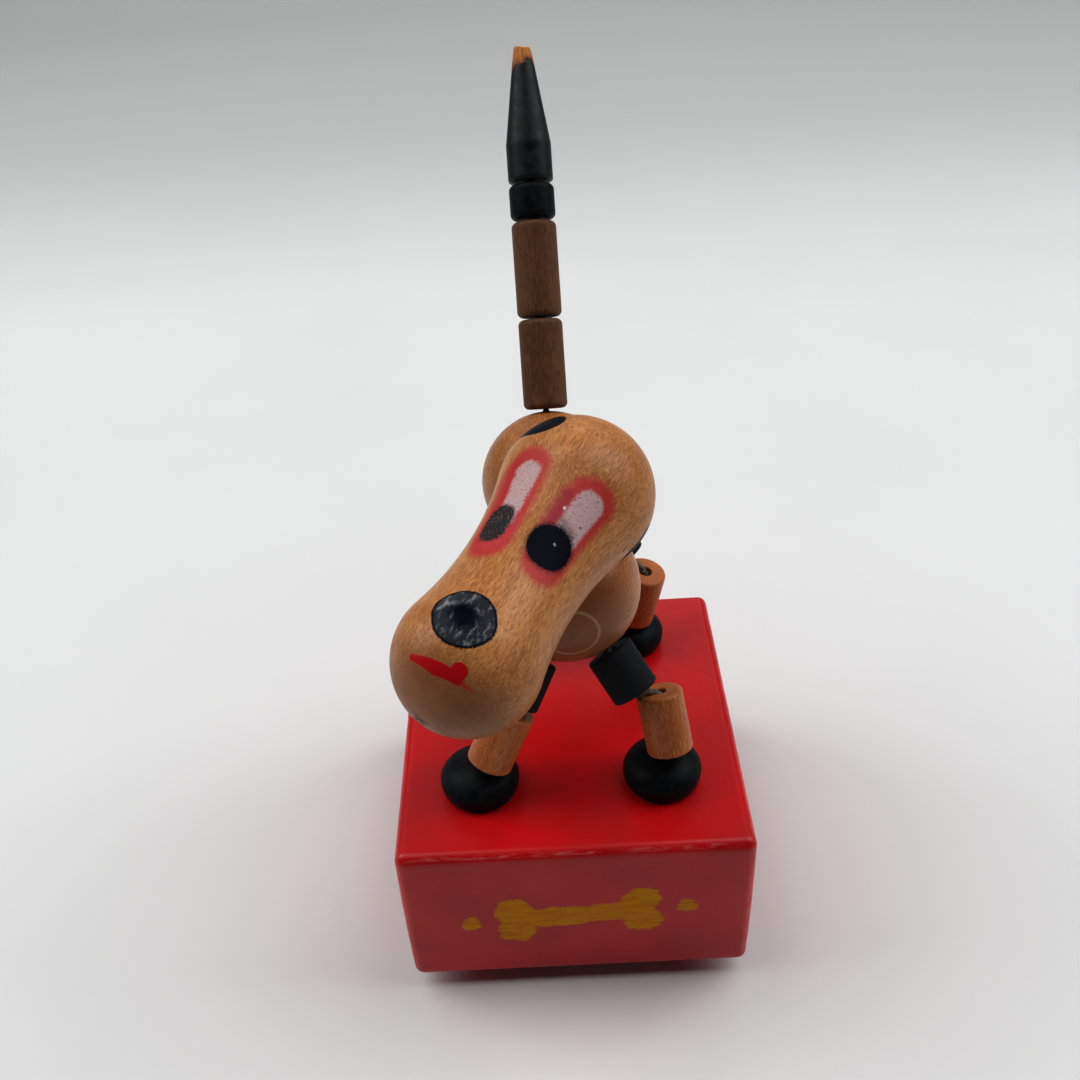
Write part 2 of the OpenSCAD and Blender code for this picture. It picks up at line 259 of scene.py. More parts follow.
def evenly(profile, step, closed=False):
    """The same profile with points at equal steps of length along it."""
    if closed:
        profile = np.concatenate([profile, profile[:1]])
    run = run_along(profile)
    keep = np.concatenate([[True], np.diff(run) > TINY])
    count = max(int(round(run[-1] / step)), 8)
    at = np.linspace(0, run[-1], count + 1)[: count if closed else count + 1]
    return np.stack([np.interp(at, run[keep], profile[keep, k]) for k in (0, 1)], -1)


def ripple(angle, along, seed, waves=7):
    """A smooth uneven field: a sum of sines round the turn and along the length, drawn from a seed."""
    draw = np.random.default_rng(seed)
    field = np.zeros(np.broadcast(angle, along).shape)
    for k in range(1, waves + 1):
        turns = draw.integers(0, 4)
        pitch = draw.uniform(0.3, 1.0) * k
        field = field + np.sin(turns * angle + pitch * along + draw.uniform(0, TAU)) / k
    return field / 2


def smooth_piece(name, points, faces):
    """A smooth-shaded piece from points and lists of their numbers, put into the scene."""
    mesh = bpy.data.meshes.new(name)
    mesh.from_pydata(points.tolist(), [], faces)
    mesh.polygons.foreach_set("use_smooth", np.ones(len(faces), bool))
    piece = bpy.data.objects.new(name, mesh)
    bpy.context.scene.collection.objects.link(piece)
    return piece


def skin(name, grid, loop_rows=False, uv=None, **fields):
    """A mesh over a grid of points (rows, columns, 3): columns close round, rows where loop_rows is set. An
    end row that shrinks to one point becomes a pole of triangles. Faces are turned outward by the signed
    volume. fields are arrays of one number or one vector a point, kept as attributes; uv holds one more
    column than grid."""
    rows, columns = grid.shape[:2]
    index = np.arange(rows * columns).reshape(rows, columns)
    if not loop_rows:
        for end in (0, rows - 1):
            if np.ptp(grid[end], axis=0).max() < TINY:
                index[end] = index[end, 0]
    low = index if loop_rows else index[:-1]
    high = np.roll(index, -1, 0) if loop_rows else index[1:]
    quads = np.stack([low, np.roll(low, -1, 1), np.roll(high, -1, 1), high], -1).reshape(-1, 4)
    foot, head = quads[:, 0] == quads[:, 1], quads[:, 2] == quads[:, 3]
    picks = [(~foot & ~head, [0, 1, 2, 3]), (foot, [1, 2, 3]), (head, [0, 1, 2])]
    points = grid.reshape(-1, 3)
    a, b, c, d = (points[quads[:, k]] for k in range(4))
    volume = np.einsum("ij,ij->i", a, np.cross(b, c)).sum() + np.einsum("ij,ij->i", a, np.cross(c, d)).sum()
    if volume < 0:
        picks = [(mask, corners[::-1]) for mask, corners in picks]
    used = np.unique(index)
    renamed = np.zeros(rows * columns, int)
    renamed[used] = np.arange(len(used))
    faces = [face for mask, corners in picks for face in renamed[quads[mask][:, corners]].tolist()]
    piece = smooth_piece(name, points[used], faces)
    mesh = piece.data
    for field, values in fields.items():
        values = np.asarray(values, np.float32)
        vector = values.ndim == 3
        layer = mesh.attributes.new(field, "FLOAT_VECTOR" if vector else "FLOAT", "POINT")
        layer.data.foreach_set("vector" if vector else "value", values.reshape(len(points), -1)[used].ravel())
    if uv is not None:
        corners_uv = np.stack([uv[:-1, :-1], uv[:-1, 1:], uv[1:, 1:], uv[1:, :-1]], 2).reshape(-1, 4, 2)
        flat = np.concatenate([corners_uv[mask][:, corners].reshape(-1, 2) for mask, corners in picks])
        mesh.uv_layers.new(name="face").data.foreach_set("uv", flat.astype(np.float32).ravel())
    mesh.update()
    return piece


def turned(name, profile, origin, axis, columns, seed, oval, loop=False, toward=UP, worn=None, face=False):
    """A turned piece: every profile point (radius, height) is carried round the axis, a little oval and
    uneven. worn(radius, height, turn) may change radius and height point by point. The attribute turned
    keeps each point's place in the lathe's own axes, in millimetres, and seed tells one piece's grain from
    the next. Where face is set, the face map unrolls the piece: length along the profile, and turn times
    FACE_R."""
    first, second, axis = axes_round(axis, toward)
    turn = -math.pi + TAU * np.arange(columns) / columns
    radius = np.repeat(profile[:, :1], columns, 1)
    height = np.repeat(profile[:, 1:], columns, 1)
    shape = 1 + oval * np.cos(2 * turn + seed) + oval / 3 * ripple(turn[None, :], height / MM * 0.4, seed)
    inner = np.clip((radius - HOLE_R) / HOLE_R, 0, 1)
    radius = radius * (1 + (shape - 1) * inner)
    if worn is not None:
        radius, height = worn(radius, height, turn[None, :])
    across, beside = radius * np.cos(turn), radius * np.sin(turn)
    spine = np.asarray(origin) + height[..., None] * axis
    grid = spine + across[..., None] * first + beside[..., None] * second
    uv = None
    if face:
        rim = -math.pi + TAU * np.arange(columns + 1) / columns
        run = run_along(profile) / MM
        uv = np.stack(np.broadcast_arrays(run[:, None], -FACE_R / MM * rim[None, :]), -1)
    lathe = np.stack([across, beside, height], -1) / MM
    return skin(name, grid, loop, uv, turned=lathe, seed=np.full(radius.shape, float(seed)))


def thread(name, start, stop, start_way, stop_way, rings=CORD_RINGS):
    """A two-ply thread on a cubic curve that leaves start along start_way and reaches stop along stop_way.
    Its section swells twice round, and the swell winds along the thread, as twisted plies do."""
    t = np.linspace(0, 1, rings)[:, None]
    start, stop = np.asarray(start), np.asarray(stop)
    span = np.linalg.norm(stop - start)
    weights = [2 * t ** 3 - 3 * t ** 2 + 1, t ** 3 - 2 * t ** 2 + t, 3 * t ** 2 - 2 * t ** 3, t ** 3 - t ** 2]
    ends = [start, span * unit(start_way), stop, span * unit(stop_way)]
    path = sum(weight * end for weight, end in zip(weights, ends))
    ahead = np.gradient(path, axis=0)
    ahead /= np.linalg.norm(ahead, axis=1, keepdims=True)
    side = np.cross(ahead, axes_round(unit(stop - start))[0])
    side /= np.linalg.norm(side, axis=1, keepdims=True)
    over = np.cross(side, ahead)
    turn = TAU * np.arange(CORD_SIDES) / CORD_SIDES
    wound = turn[None, :] - TAU * run_along(path)[:, None] / CORD_LAY
    r = CORD_R * (CORD_THICK + CORD_SWELL * np.cos(2 * wound))
    r[[0, -1]] = 0
    beside = (r * np.cos(turn))[..., None] * side[:, None]
    above = (r * np.sin(turn))[..., None] * over[:, None]
    return skin(name, path[:, None] + beside + above)


# Places read off the frame.

def box_of(node):
    """Least and greatest corner of a node's box, as arrays."""
    low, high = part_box(node)
    return np.array(low), np.array(high)


def foot_middle(leg):
    """The middle of a leg's foot."""
    low, high = box_of(leg + "_foot")
    return (low + high) / 2


def points_of(node):
    """The points of a CAD node, as an array."""
    mesh = frame["nodes"][node].data
    flat = np.zeros(3 * len(mesh.vertices), np.float32)
    mesh.vertices.foreach_get("co", flat)
    return flat.reshape(-1, 3).astype(float)


def cord_line(node):
    """Lower end, upper end and upward direction of the straight cord in a CAD node, by its longest spread."""
    points = points_of(node)
    middle = (points.min(0) + points.max(0)) / 2
    way = np.linalg.svd(points - points.mean(0), full_matrices=False)[2][0]
    way = way if way[2] > 0 else -way
    run = (points - middle) @ way
    return middle + run.min() * way, middle + run.max() * way, way


def bead_line(node):
    """Lower end, direction, length and radius of a bead, measured along the cord that runs through it."""
    cord = node + "_cord" if node.startswith("tail") else node.replace("_leg", "_cord")
    low, _, way = cord_line(cord)
    points = points_of(node)
    run = (points - low) @ way
    off = (points - low) - run[:, None] * way
    return low + run.min() * way, way, np.ptp(run), np.linalg.norm(off, axis=1).max()


def joint(name):
    """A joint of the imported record."""
    return next(j for j in frame["joints"] if j["name"] == name)


SKULL = np.array(joint("head_turn")["pos_m"])
NECK_WAY = unit(joint("head_turn")["axis"])
HEAD_WAY = -np.array([math.sin(HEAD_TURNED) * math.cos(HEAD_DIP), math.cos(HEAD_TURNED) * math.cos(HEAD_DIP),
                      math.sin(HEAD_DIP)])
HEAD_UP, HEAD_SIDE, _ = axes_round(HEAD_WAY)
FACE_UP = math.cos(FACE_ROLL) * HEAD_UP - math.sin(FACE_ROLL) * HEAD_SIDE
BLOCK_LOW, BLOCK_HIGH = box_of("base_block")
HEAD_PROFILE = evenly(dumbbell(SKULL_R, MUZZLE_R, HEAD_L, HEAD_HOLLOW_R), HEAD_STEP)


# Finishes: node trees, with every constant set on the socket that uses it. Turned wood, black lacquer and
# enamel measure in millimetres; thread, button, spring and floor in metres.

class Finish:
    """Short words for building one material's nodes. A value is a number, a colour or a node's output."""

    def __init__(self, name):
        self.material = bpy.data.materials.new(name)
        self.material.use_nodes = True
        self.tree = self.material.node_tree
        self.shader = self.tree.nodes["Principled BSDF"]

    def node(self, kind, inputs, **settings):
        """A new node with its settings made and its inputs fed."""
        made = self.tree.nodes.new(kind)
        for key, value in settings.items():
            setattr(made, key, value)
        for key, value in inputs.items():
            self.feed(made.inputs[key], value)
        return made

    def feed(self, socket, value):
        """Links an output to a socket, or sets the socket's own value."""
        if isinstance(value, bpy.types.NodeSocket):
            self.tree.links.new(value, socket)
        elif isinstance(value, tuple) and len(value) == 3 and socket.type == "RGBA":
            socket.default_value = (*value, 1.0)
        else:
            socket.default_value = value

    def place(self):
        """The point's place in metres."""
        return self.node("ShaderNodeTexCoord", {}).outputs["Object"]

    def field(self, name, vector=True):
        """An attribute that the mesh keeps for each point."""
        made = self.node("ShaderNodeAttribute", {}, attribute_name=name)
        return made.outputs["Vector" if vector else "Fac"]

    def scaled(self, vector, scale):
        """A vector stretched along its axes."""
        return self.node("ShaderNodeMapping", {"Vector": vector, "Scale": scale}).outputs["Vector"]

    def math(self, operation, a, b=0.0, clamp=False):
        """One sum on numbers."""
        return self.node("ShaderNodeMath", {0: a, 1: b}, operation=operation, use_clamp=clamp).outputs[0]

    def vector(self, operation, a, b=(0.0, 0.0, 0.0)):
        """One sum on vectors."""
        made = self.node("ShaderNodeVectorMath", {0: a, 1: b}, operation=operation)
        return made.outputs["Value" if operation in ("DOT_PRODUCT", "LENGTH") else "Vector"]

    def part(self, vector, axis):
        """One coordinate of a vector."""
        return self.node("ShaderNodeSeparateXYZ", {0: vector}).outputs[axis]

    def noise(self, vector, scale=1.0, detail=2.0, roughness=0.5, seed=0.0):
        """Cloudy noise about one half."""
        inputs = {"Vector": vector, "W": seed, "Scale": scale, "Detail": detail, "Roughness": roughness}
        return self.node("ShaderNodeTexNoise", inputs, noise_dimensions="4D").outputs["Fac"]

    def slope(self, value, low, high, start=0.0, stop=1.0):
        """A smooth step of value from low to high, given out as start to stop."""
        inputs = {"Value": value, "From Min": low, "From Max": high, "To Min": start, "To Max": stop}
        return self.node("ShaderNodeMapRange", inputs, interpolation_type="SMOOTHSTEP").outputs["Result"]

    def mix(self, share, a, b):
        """Colour a turning to b by share."""
        return self.node("ShaderNodeMix", {0: share, 6: a, 7: b}, data_type="RGBA").outputs[2]

    def blend(self, share, a, b):
        """Number a turning to b by share."""
        return self.node("ShaderNodeMix", {0: share, 2: a, 3: b}, data_type="FLOAT").outputs[0]

    def coat(self, under, over, share, strength):
        """Colour over laid on colour under, where share says and at most as strong as strength."""
        return self.mix(self.math("MULTIPLY", share, strength), under, over)

    def finish(self, colour, roughness, height=None, depth=0.02 * MM, **constants):
        """Feeds the shader and gives out the material; height becomes a bump of that depth."""
        self.feed(self.shader.inputs["Base Color"], colour)
        self.feed(self.shader.inputs["Roughness"], roughness)
        if height is not None:
            bump = self.node("ShaderNodeBump", {"Height": height, "Distance": depth, "Strength": 1.0})
            self.feed(self.shader.inputs["Normal"], bump.outputs["Normal"])
        for key, value in constants.items():
            self.feed(self.shader.inputs[key.replace("_", " ")], value)
        return self.material


WOOD_LIGHT = (0.54, 0.25, 0.082)
WOOD_DARK = (0.4, 0.162, 0.047)
WOOD_PALE = (0.66, 0.36, 0.145)
WOOD_FLECK = (0.2, 0.063, 0.018)
# Darker end grain, which is also painted shade at the chest's front under the head and at the muzzle's end.
END_GRAIN_AND_SHADE = (0.2, 0.068, 0.03)
TORSO_LIGHT = (0.42, 0.172, 0.054)
TORSO_DARK = (0.32, 0.118, 0.032)
DOWEL_LIGHT = (0.58, 0.2, 0.058)
DOWEL_DARK = (0.42, 0.13, 0.036)
STAIN_LIGHT = (0.155, 0.075, 0.037)
STAIN_DARK = (0.105, 0.048, 0.023)
STAIN_FLECK = (0.05, 0.022, 0.011)
STAIN_WORN = (0.23, 0.1, 0.042)
RING_PALE = (0.62, 0.44, 0.3)

# Grain: noise cells to a millimetre, twice across the lathe's axis and once along it.
BROAD_GRAIN = (0.22, 0.22, 0.035)
STREAK_GRAIN = (1.5, 1.5, 0.14)
DASH_GRAIN = (5.0, 5.0, 0.9)
PORE_GRAIN = (11.0, 11.0, 1.9)
WORN_GRAIN = (0.4, 0.4, 0.25)
BLACK_GRAIN = (4.0, 4.0, 0.5)
FIBRE_GRAIN = (3.0, 3.0, 0.5)

# The lathe's ring, and the heights between which the ends of chest and muzzle darken: darker end grain, and with
# it painted shade under the head and under the muzzle.
RING_R = 3.3
CHEST_END = (-4.0, -8.5)
MUZZLE_END = (26.5, 31.0)
END_SHADE_SHARE = 0.6


def axis_distance(kit):
    """Distance from the lathe's axis, in millimetres."""
    return kit.vector("LENGTH", kit.vector("MULTIPLY", kit.field("turned"), (1.0, 1.0, 0.0)))


def timber(kit, light, dark, fleck, fleck_share=0.55, pale=WOOD_PALE, pole=0.0, end=None):
    """Close-grained turned wood: broad bands, streaks along the lathe axis, and short dashes darker and
    paler, which fade out within the radius pole round the axis. Between the two heights in end, the end grain
    darkens, and this darkening is also painted shade. Gives out colour and height, from the lathe's own
    millimetres."""
    lathe, seed = kit.field("turned"), kit.field("seed", vector=False)
    if pole:
        fleck_share = kit.slope(axis_distance(kit), 0.3 * pole, pole, 0.15 * fleck_share, fleck_share)
    broad = kit.noise(kit.scaled(lathe, BROAD_GRAIN), detail=2.0, seed=seed)
    streak = kit.noise(kit.scaled(lathe, STREAK_GRAIN), detail=4.0, roughness=0.6, seed=seed)
    dash = kit.noise(kit.scaled(lathe, DASH_GRAIN), detail=2.0, roughness=0.6, seed=seed)
    pores = kit.noise(kit.scaled(lathe, PORE_GRAIN), detail=1.0, seed=seed)
    tint = kit.mix(kit.slope(broad, 0.36, 0.66), light, dark)
    tint = kit.coat(tint, dark, kit.slope(streak, 0.42, 0.7), 0.45)
    tint = kit.coat(tint, pale, kit.slope(dash, 0.48, 0.34), fleck_share)
    dashes = kit.slope(dash, 0.51, 0.65)
    tint = kit.coat(tint, fleck, dashes, fleck_share)
    tint = kit.coat(tint, dark, kit.slope(pores, 0.55, 0.7), fleck_share)
    if end:
        # Painted shade together with darker end grain: the chest's front under the head and the muzzle's end
        # darken.
        tint = kit.mix(kit.slope(kit.part(lathe, "Z"), *end, 0.0, END_SHADE_SHARE), tint, END_GRAIN_AND_SHADE)
    height = kit.math("SUBTRACT", 0.5, kit.math("MULTIPLY", dashes, 0.3))
    return tint, height


def varnish_roughness(kit):
    """Roughness of hand-rubbed varnish, uneven over a few millimetres."""
    return kit.slope(kit.noise(kit.field("turned"), 0.7, 4.0), 0.3, 0.7, 0.32, 0.46)


def varnished_dowel():
    """Clear varnish over dowel."""
    kit = Finish("varnished dowel")
    tint, height = timber(kit, DOWEL_LIGHT, DOWEL_DARK, WOOD_FLECK, 0.4)
    return kit.finish(tint, varnish_roughness(kit), height, 0.012 * MM, Specular_IOR_Level=0.3,
                      Coat_Weight=0.08, Coat_Roughness=0.2)


def varnished_torso():
    """Varnished wood with the lathe's ring and centre mark on both end poles."""
    kit = Finish("varnished torso")
    tint, height = timber(kit, TORSO_LIGHT, TORSO_DARK, WOOD_FLECK, 0.4, pole=CHEST_R / MM, end=CHEST_END)
    off = axis_distance(kit)
    ring = kit.slope(kit.math("ABSOLUTE", kit.math("SUBTRACT", off, RING_R)), 0.3, 0.05)
    dot = kit.slope(off, 0.5, 0.2)
    tint = kit.coat(tint, RING_PALE, ring, 0.4)
    tint = kit.coat(tint, WOOD_FLECK, dot, 0.6)
    height = kit.math("SUBTRACT", height, kit.math("ADD", ring, dot))
    return kit.finish(tint, varnish_roughness(kit), height, 0.015 * MM, Specular_IOR_Level=0.35,
                      Coat_Weight=0.12, Coat_Roughness=0.16)


def stained():
    """Brown stain rubbed into dowel, darker in the grain and redder where it wore thin."""
    kit = Finish("brown stain")
    tint, height = timber(kit, STAIN_LIGHT, STAIN_DARK, STAIN_FLECK, 0.5, STAIN_WORN)
    lathe, seed = kit.field("turned"), kit.field("seed", vector=False)
    worn = kit.slope(kit.noise(kit.scaled(lathe, WORN_GRAIN), detail=3.0, seed=seed), 0.52, 0.72)
    tint = kit.coat(tint, STAIN_WORN, worn, 0.6)
    return kit.finish(tint, 0.55, height, 0.02 * MM, Specular_IOR_Level=0.2)


BLACK = (0.003, 0.004, 0.005)
BLACK_DUSTY = (0.011, 0.013, 0.017)
DUST_SPECK = (0.1, 0.1, 0.1)
BARE_LIGHT = (0.6, 0.26, 0.05)
BARE_DARK = (0.38, 0.14, 0.035)
BARE_RIM = (0.16, 0.055, 0.028)
BARE_L = 2.9
BARE_RAGGED = 4.5


def black_coat(kit):
    """Black lacquer dulled by dust and handling: colour, roughness and height."""
    lathe, seed = kit.field("turned"), kit.field("seed", vector=False)
    dust = kit.noise(lathe, 0.9, 5.0, 0.6, seed)
    speck = kit.slope(kit.noise(lathe, 7.0, 1.0, 0.5, seed), 0.66, 0.74)
    tint = kit.mix(kit.slope(dust, 0.4, 0.72), BLACK, BLACK_DUSTY)
    tint = kit.coat(tint, DUST_SPECK, speck, 0.15)
    rough = kit.slope(dust, 0.3, 0.7, 0.36, 0.56)
    grain = kit.noise(kit.scaled(lathe, BLACK_GRAIN), detail=2.0, seed=seed)
    return tint, rough, grain


def black_lacquer():
    """Black lacquer on the feet and the collar."""
    kit = Finish("black lacquer")
    tint, rough, height = black_coat(kit)
    return kit.finish(tint, rough, height, 0.02 * MM, Specular_IOR_Level=0.12)


def charcoal_stain():
    """Black stain without gloss on the upper legs."""
    kit = Finish("charcoal stain")
    tint, rough, height = black_coat(kit)
    tint = kit.mix(0.5, tint, BLACK_DUSTY)
    return kit.finish(tint, kit.math("ADD", rough, 0.25), height, 0.02 * MM, Specular_IOR_Level=0.25)


def chipped_lacquer(length):
    """Black lacquer on the tail's tip, chipped to orange bare wood over a ragged BARE_L at its end."""
    kit = Finish("chipped lacquer")
    tint, rough, height = black_coat(kit)
    lathe = kit.field("turned")
    ragged = kit.math("SUBTRACT", kit.noise(lathe, 0.5, 2.0, 0.5, 2.0), 0.5)
    ragged = kit.math("MULTIPLY", ragged, BARE_RAGGED)
    chip = kit.math("SUBTRACT", kit.math("ADD", kit.part(lathe, "Z"), ragged), length / MM)
    bare = kit.slope(chip, -BARE_L - 0.2, -BARE_L + 0.2)
    fibre = kit.noise(kit.scaled(lathe, FIBRE_GRAIN), detail=3.0)
    wood = kit.mix(kit.slope(fibre, 0.35, 0.65), BARE_LIGHT, BARE_DARK)
    wood = kit.mix(kit.slope(chip, -0.6 * BARE_L, -BARE_L, 0.0, 0.8), wood, BARE_RIM)
    tint = kit.mix(bare, tint, wood)
    height = kit.math("SUBTRACT", height, kit.math("MULTIPLY", bare, 2.0))
    return kit.finish(tint, kit.blend(bare, rough, 0.6), height, 0.03 * MM, Specular_IOR_Level=0.3)


LINEN_LIGHT = (0.2, 0.16, 0.115)
LINEN_DARK = (0.1, 0.078, 0.055)
BUTTON_LIGHT = (0.6, 0.41, 0.235)
BUTTON_DARK = (0.46, 0.285, 0.15)
BUTTON_FLECK = (0.28, 0.15, 0.07)
WIRE_BRIGHT = (0.56, 0.56, 0.57)
WIRE_RUST = (0.3, 0.2, 0.13)


def linen():
    """Twisted linen thread."""
    kit = Finish("linen thread")
    fuzz = kit.noise(kit.scaled(kit.place(), (4000.0, 4000.0, 4000.0)), detail=2.0)
    tint = kit.mix(kit.slope(fuzz, 0.35, 0.65), LINEN_LIGHT, LINEN_DARK)
    return kit.finish(tint, 0.85, fuzz, 0.03 * MM)


def bare_wood():
    """Sanded wood of the button: face grain across it."""
    kit = Finish("bare wood")
    place = kit.place()
    streak = kit.noise(kit.scaled(place, (160.0, 1400.0, 900.0)), detail=4.0, roughness=0.6)
    dash = kit.noise(kit.scaled(place, (900.0, 4500.0, 4500.0)), detail=2.0)
    tint = kit.mix(kit.slope(streak, 0.38, 0.66), BUTTON_LIGHT, BUTTON_DARK)
    tint = kit.coat(tint, BUTTON_FLECK, kit.slope(dash, 0.56, 0.7), 0.5)
    return kit.finish(tint, 0.62, dash, 0.02 * MM)


def spring_steel():
    """Bright drawn wire with a little rust bloom."""
    kit = Finish("spring steel")
    spots = kit.slope(kit.noise(kit.place(), 900.0, 4.0), 0.56, 0.7)
    tint = kit.mix(spots, WIRE_BRIGHT, WIRE_RUST)
    return kit.finish(tint, kit.slope(spots, 0.0, 1.0, 0.28, 0.6), Metallic=1.0)


# The face: every mark is a tapered stroke between two places on the head, each given as millimetres
# along the head's axis from the skull's middle, and degrees round it from the face's midline to the dog's
# left. All are brush strokes but the glint, which is a painted reflection. Half widths, soft edge and speckle are
# millimetres; cover is how far the paint hides what is under it.

Stroke = namedtuple("Stroke", "name start stop half_start half_stop soft speckle colour rough cover")

PAINT_RED = (0.46, 0.022, 0.027)
PAINT_ROSE = (0.5, 0.045, 0.06)
PAINT_CRIMSON = (0.3, 0.008, 0.03)
PAINT_WHITE = (0.53, 0.385, 0.385)
PAINT_BLACK = (0.002, 0.004, 0.011)
PAINT_FADED = (0.033, 0.032, 0.033)
# Pale grey of the painted glint, a reflection on the left pupil, and of a real white fleck.
GLINT_AND_FLECK_PALE = (0.6, 0.6, 0.6)
EAR_BLACK = (0.007, 0.008, 0.011)
MOUTH_RED = (0.47, 0.006, 0.01)
SPECK_BROWN = (0.05, 0.02, 0.01)
NOSE_GREY = (0.045, 0.052, 0.06)
NOSE_SCRAPED = (0.36, 0.37, 0.38)

# Paints without gloss, and paints with grit in them: the grit's colour and strength.
MATT = (PAINT_BLACK, PAINT_FADED, EAR_BLACK)
GRITTY = {PAINT_WHITE: (SPECK_BROWN, 0.7), PAINT_FADED: (PAINT_WHITE, 0.35)}
VARNISH_SHINE = 0.35
MATT_SHINE = 0.04
PAINT_RAISED = 0.35
FINE_SPECKLE = 2.4
SCUFF_AT = (-1.2, 1.2, 32.2)

FACE_PAINT = (
    Stroke("right eye haze", (5.2, -46.0), (13.0, -43.0), 2.0, 1.8, 0.9, 0.5, PAINT_RED, 0.5, 0.75),
    Stroke("right eye red", (4.3, -31.0), (14.2, -29.5), 2.45, 2.5, 0.6, 0.5, PAINT_RED, 0.5, 0.92),
    Stroke("right eye rose", (11.5, -24.0), (14.0, -26.0), 1.5, 1.6, 0.6, 0.6, PAINT_ROSE, 0.5, 0.6),
    Stroke("left eye red", (5.3, 30.0), (14.3, 26.5), 2.6, 2.5, 0.6, 0.5, PAINT_RED, 0.5, 0.92),
    Stroke("left eye crimson", (6.2, 11.0), (10.8, 10.0), 0.7, 0.9, 0.6, 0.7, PAINT_CRIMSON, 0.5, 0.7),
    Stroke("right eye white", (5.0, -29.0), (11.3, -28.0), 1.4, 1.2, 0.26, 0.5, PAINT_WHITE, 0.55, 0.93),
    Stroke("left eye white", (5.7, 30.5), (10.4, 29.0), 1.5, 1.5, 0.26, 0.4, PAINT_WHITE, 0.55, 0.93),
    Stroke("left white wear", (8.9, 20.0), (9.8, 31.0), 0.35, 0.7, 0.5, 1.1, PAINT_FADED, 0.55, 0.5),
    Stroke("right pupil", (11.0, -33.5), (12.7, -33.0), 1.75, 1.75, 0.22, 0.6, PAINT_FADED, 0.6, 0.98),
    Stroke("left pupil shade", (12.3, 22.9), (12.4, 22.9), 2.75, 2.75, 0.4, 0.5, PAINT_BLACK, 0.5, 0.7),
    Stroke("left pupil", (12.3, 22.9), (12.4, 22.9), 2.5, 2.5, 0.1, 0.15, PAINT_BLACK, 0.28, 1.0),
    # The glint is a painted highlight: a reflection on the glossy left pupil, laid on as a stroke.
    Stroke("glint", (11.75, 25.0), (11.8, 26.0), 0.14, 0.1, 0.08, 0.1, GLINT_AND_FLECK_PALE, 0.4, 0.6),
    Stroke("white fleck", (7.6, 15.4), (7.7, 15.6), 0.16, 0.16, 0.05, 0.0, GLINT_AND_FLECK_PALE, 0.4, 0.9),
    Stroke("dark speck", (8.3, 35.3), (8.35, 35.5), 0.1, 0.1, 0.04, 0.0, SPECK_BROWN, 0.5, 0.9),
    Stroke("dark nick", (4.0, 89.0), (4.6, 90.0), 0.09, 0.14, 0.05, 0.1, SPECK_BROWN, 0.5, 0.9),
    Stroke("nose", (24.27, -3.8), (24.83, -1.5), 3.0, 3.0, 0.08, 0.15, PAINT_BLACK, 0.3, 1.0),
    Stroke("mouth", (29.52, -33.0), (29.82, -6.0), 0.3, 0.7, 0.06, 0.1, MOUTH_RED, 0.25, 1.0),
    Stroke("mouth middle", (29.82, -6.0), (29.75, 19.0), 0.7, 0.6, 0.06, 0.1, MOUTH_RED, 0.25, 1.0),
    Stroke("mouth bump", (29.26, 15.5), (29.28, 16.5), 0.9, 0.9, 0.06, 0.08, MOUTH_RED, 0.25, 1.0),
    Stroke("mouth tail", (29.85, 19.0), (29.85, 37.0), 0.4, 0.05, 0.25, 0.35, MOUTH_RED, 0.3, 0.7),
    Stroke("right ear", (-2.3, -40.5), (-4.2, -110.0), 2.3, 2.1, 0.08, 0.12, EAR_BLACK, 0.4, 1.0),
    Stroke("left ear", (0.3, 110.0), (2.6, 116.0), 2.2, 2.0, 0.08, 0.12, EAR_BLACK, 0.4, 1.0),
)


def face_place(along, turn):
    """A place on the head as its face map has it: length along the profile, and turn times FACE_R, in
    millimetres."""
    run = run_along(HEAD_PROFILE) / MM
    return np.array([np.interp(along, HEAD_PROFILE[:, 1] / MM, run), FACE_R / MM * math.radians(turn), 0.0])


def stroke_distance(kit, spot, stroke):
    """Distance from a spot to a tapered stroke's edge: to its middle line, less the half width there."""
    start, stop = face_place(*stroke.start), face_place(*stroke.stop)
    way = stop - start
    from_start = kit.vector("SUBTRACT", spot, tuple(start))
    along = kit.vector("DOT_PRODUCT", from_start, tuple(way))
    share = kit.math("DIVIDE", along, float(way @ way), clamp=True)
    nearest = kit.node("ShaderNodeVectorMath", {0: tuple(way), "Scale": share}, operation="SCALE")
    apart = kit.vector("LENGTH", kit.vector("SUBTRACT", from_start, nearest.outputs["Vector"]))
    return kit.math("SUBTRACT", apart, kit.blend(share, stroke.half_start, stroke.half_stop))


def scraped_nose(kit, tint, lathe, spot, ragged):
    """The colour with a grey band inside the nose's rim and pale scrapes in the band."""
    nose = next(stroke for stroke in FACE_PAINT if stroke.name == "nose")
    from_rim = stroke_distance(kit, spot, nose)
    ragged_rim = kit.math("ADD", from_rim, kit.math("MULTIPLY", ragged, 1.6))
    band = kit.math("MULTIPLY", kit.slope(from_rim, -0.1, -0.4), kit.slope(ragged_rim, -2.4, -0.9))
    scrape = kit.noise(kit.scaled(lathe, (0.9, 1.5, 0.7)), detail=7.0, roughness=0.75, seed=7.0)
    scraped = kit.math("MULTIPLY", band, kit.slope(scrape, 0.49, 0.64))
    tint = kit.coat(tint, NOSE_GREY, band, 0.7)
    return kit.coat(tint, NOSE_SCRAPED, scraped, 0.7)


def muzzle_scuff(kit, lathe):
    """Share of dirt in the streaked scuff at the muzzle's end."""
    from_scuff = kit.vector("LENGTH", kit.vector("SUBTRACT", lathe, SCUFF_AT))
    streak = kit.noise(kit.scaled(lathe, (4.0, 1.5, 1.5)), detail=3.0, seed=5.0)
    return kit.math("MULTIPLY", kit.slope(from_scuff, 1.8, 0.6), kit.slope(streak, 0.44, 0.56))


